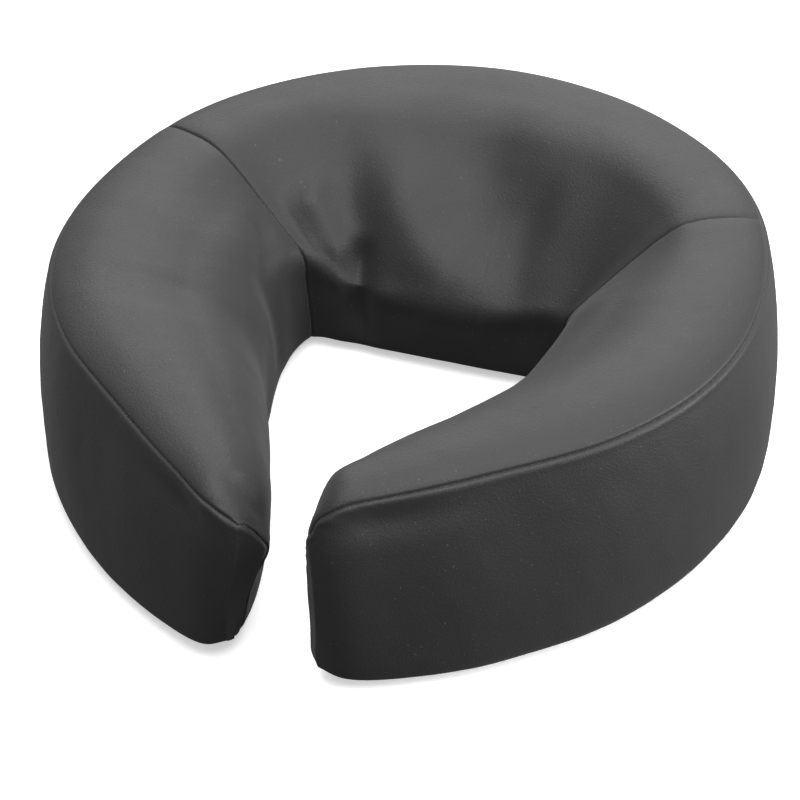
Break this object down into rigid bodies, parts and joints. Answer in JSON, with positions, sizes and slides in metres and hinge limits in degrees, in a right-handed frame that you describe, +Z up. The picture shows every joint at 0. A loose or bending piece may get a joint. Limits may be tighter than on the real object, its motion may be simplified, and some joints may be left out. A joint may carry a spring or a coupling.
{
  "type": "face cradle cushion",
  "caption": "Horseshoe face cradle cushion: soft and firm foam in a sewn black leather cover, open at the front, with loop strips and a zip underneath.",
  "frame": {"origin": "centre of the footprint, on the plane that the cushion rests on", "axes": "+Z up, +Y towards the crown, and the arms end at the gap on the -Y side"},
  "size_m": [0.3066, 0.3226, 0.089],
  "materials": {
    "leather": "satin",
    "thread": "satin",
    "firm_foam": "matte",
    "soft_foam": "matte",
    "loop_tape": "matte",
    "zip_tape": "matte",
    "zip_coil": "satin",
    "zip_metal": "satin"
  },
  "bodies": {
    "cushion": {"outer_band": "leather", "crown_panel": "leather", "left_arm_panel": "leather", "right_arm_panel": "leather", "base_front_panel": "leather", "base_rear_panel": "leather", "foam_base": "firm_foam", "foam_top": "soft_foam", "crown_loop_strip": "loop_tape", "left_loop_strip": "loop_tape", "right_loop_strip": "loop_tape", "strip_stitching": "thread", "rim_seam_thread": "thread", "left_cross_seam_thread": "thread", "right_cross_seam_thread": "thread", "base_seam_thread": "thread", "base_join_thread": "thread", "zip_stitching": "thread", "zip_tape_front": "zip_tape", "zip_tape_rear": "zip_tape", "zip_coil_front": "zip_coil", "zip_coil_rear": "zip_coil", "zip_top_stops": "zip_metal", "zip_end_stop": "zip_metal"},
    "slider": {"zip_slider": "zip_metal"},
    "pull_tab": {"zip_pull": "zip_metal"}
  },
  "joints": [
    {"name": "zip_slide", "type": "slide", "parent": "cushion", "child": "slider", "axis": [-1, 0, 0], "range_m": [0, 0.14]},
    {"name": "pull_hinge", "type": "hinge", "parent": "slider", "child": "pull_tab", "pos_m": [0.0659, 0.069, 0.00125], "axis": [0, -1, 0], "range_deg": [0, 140]}
  ]
}
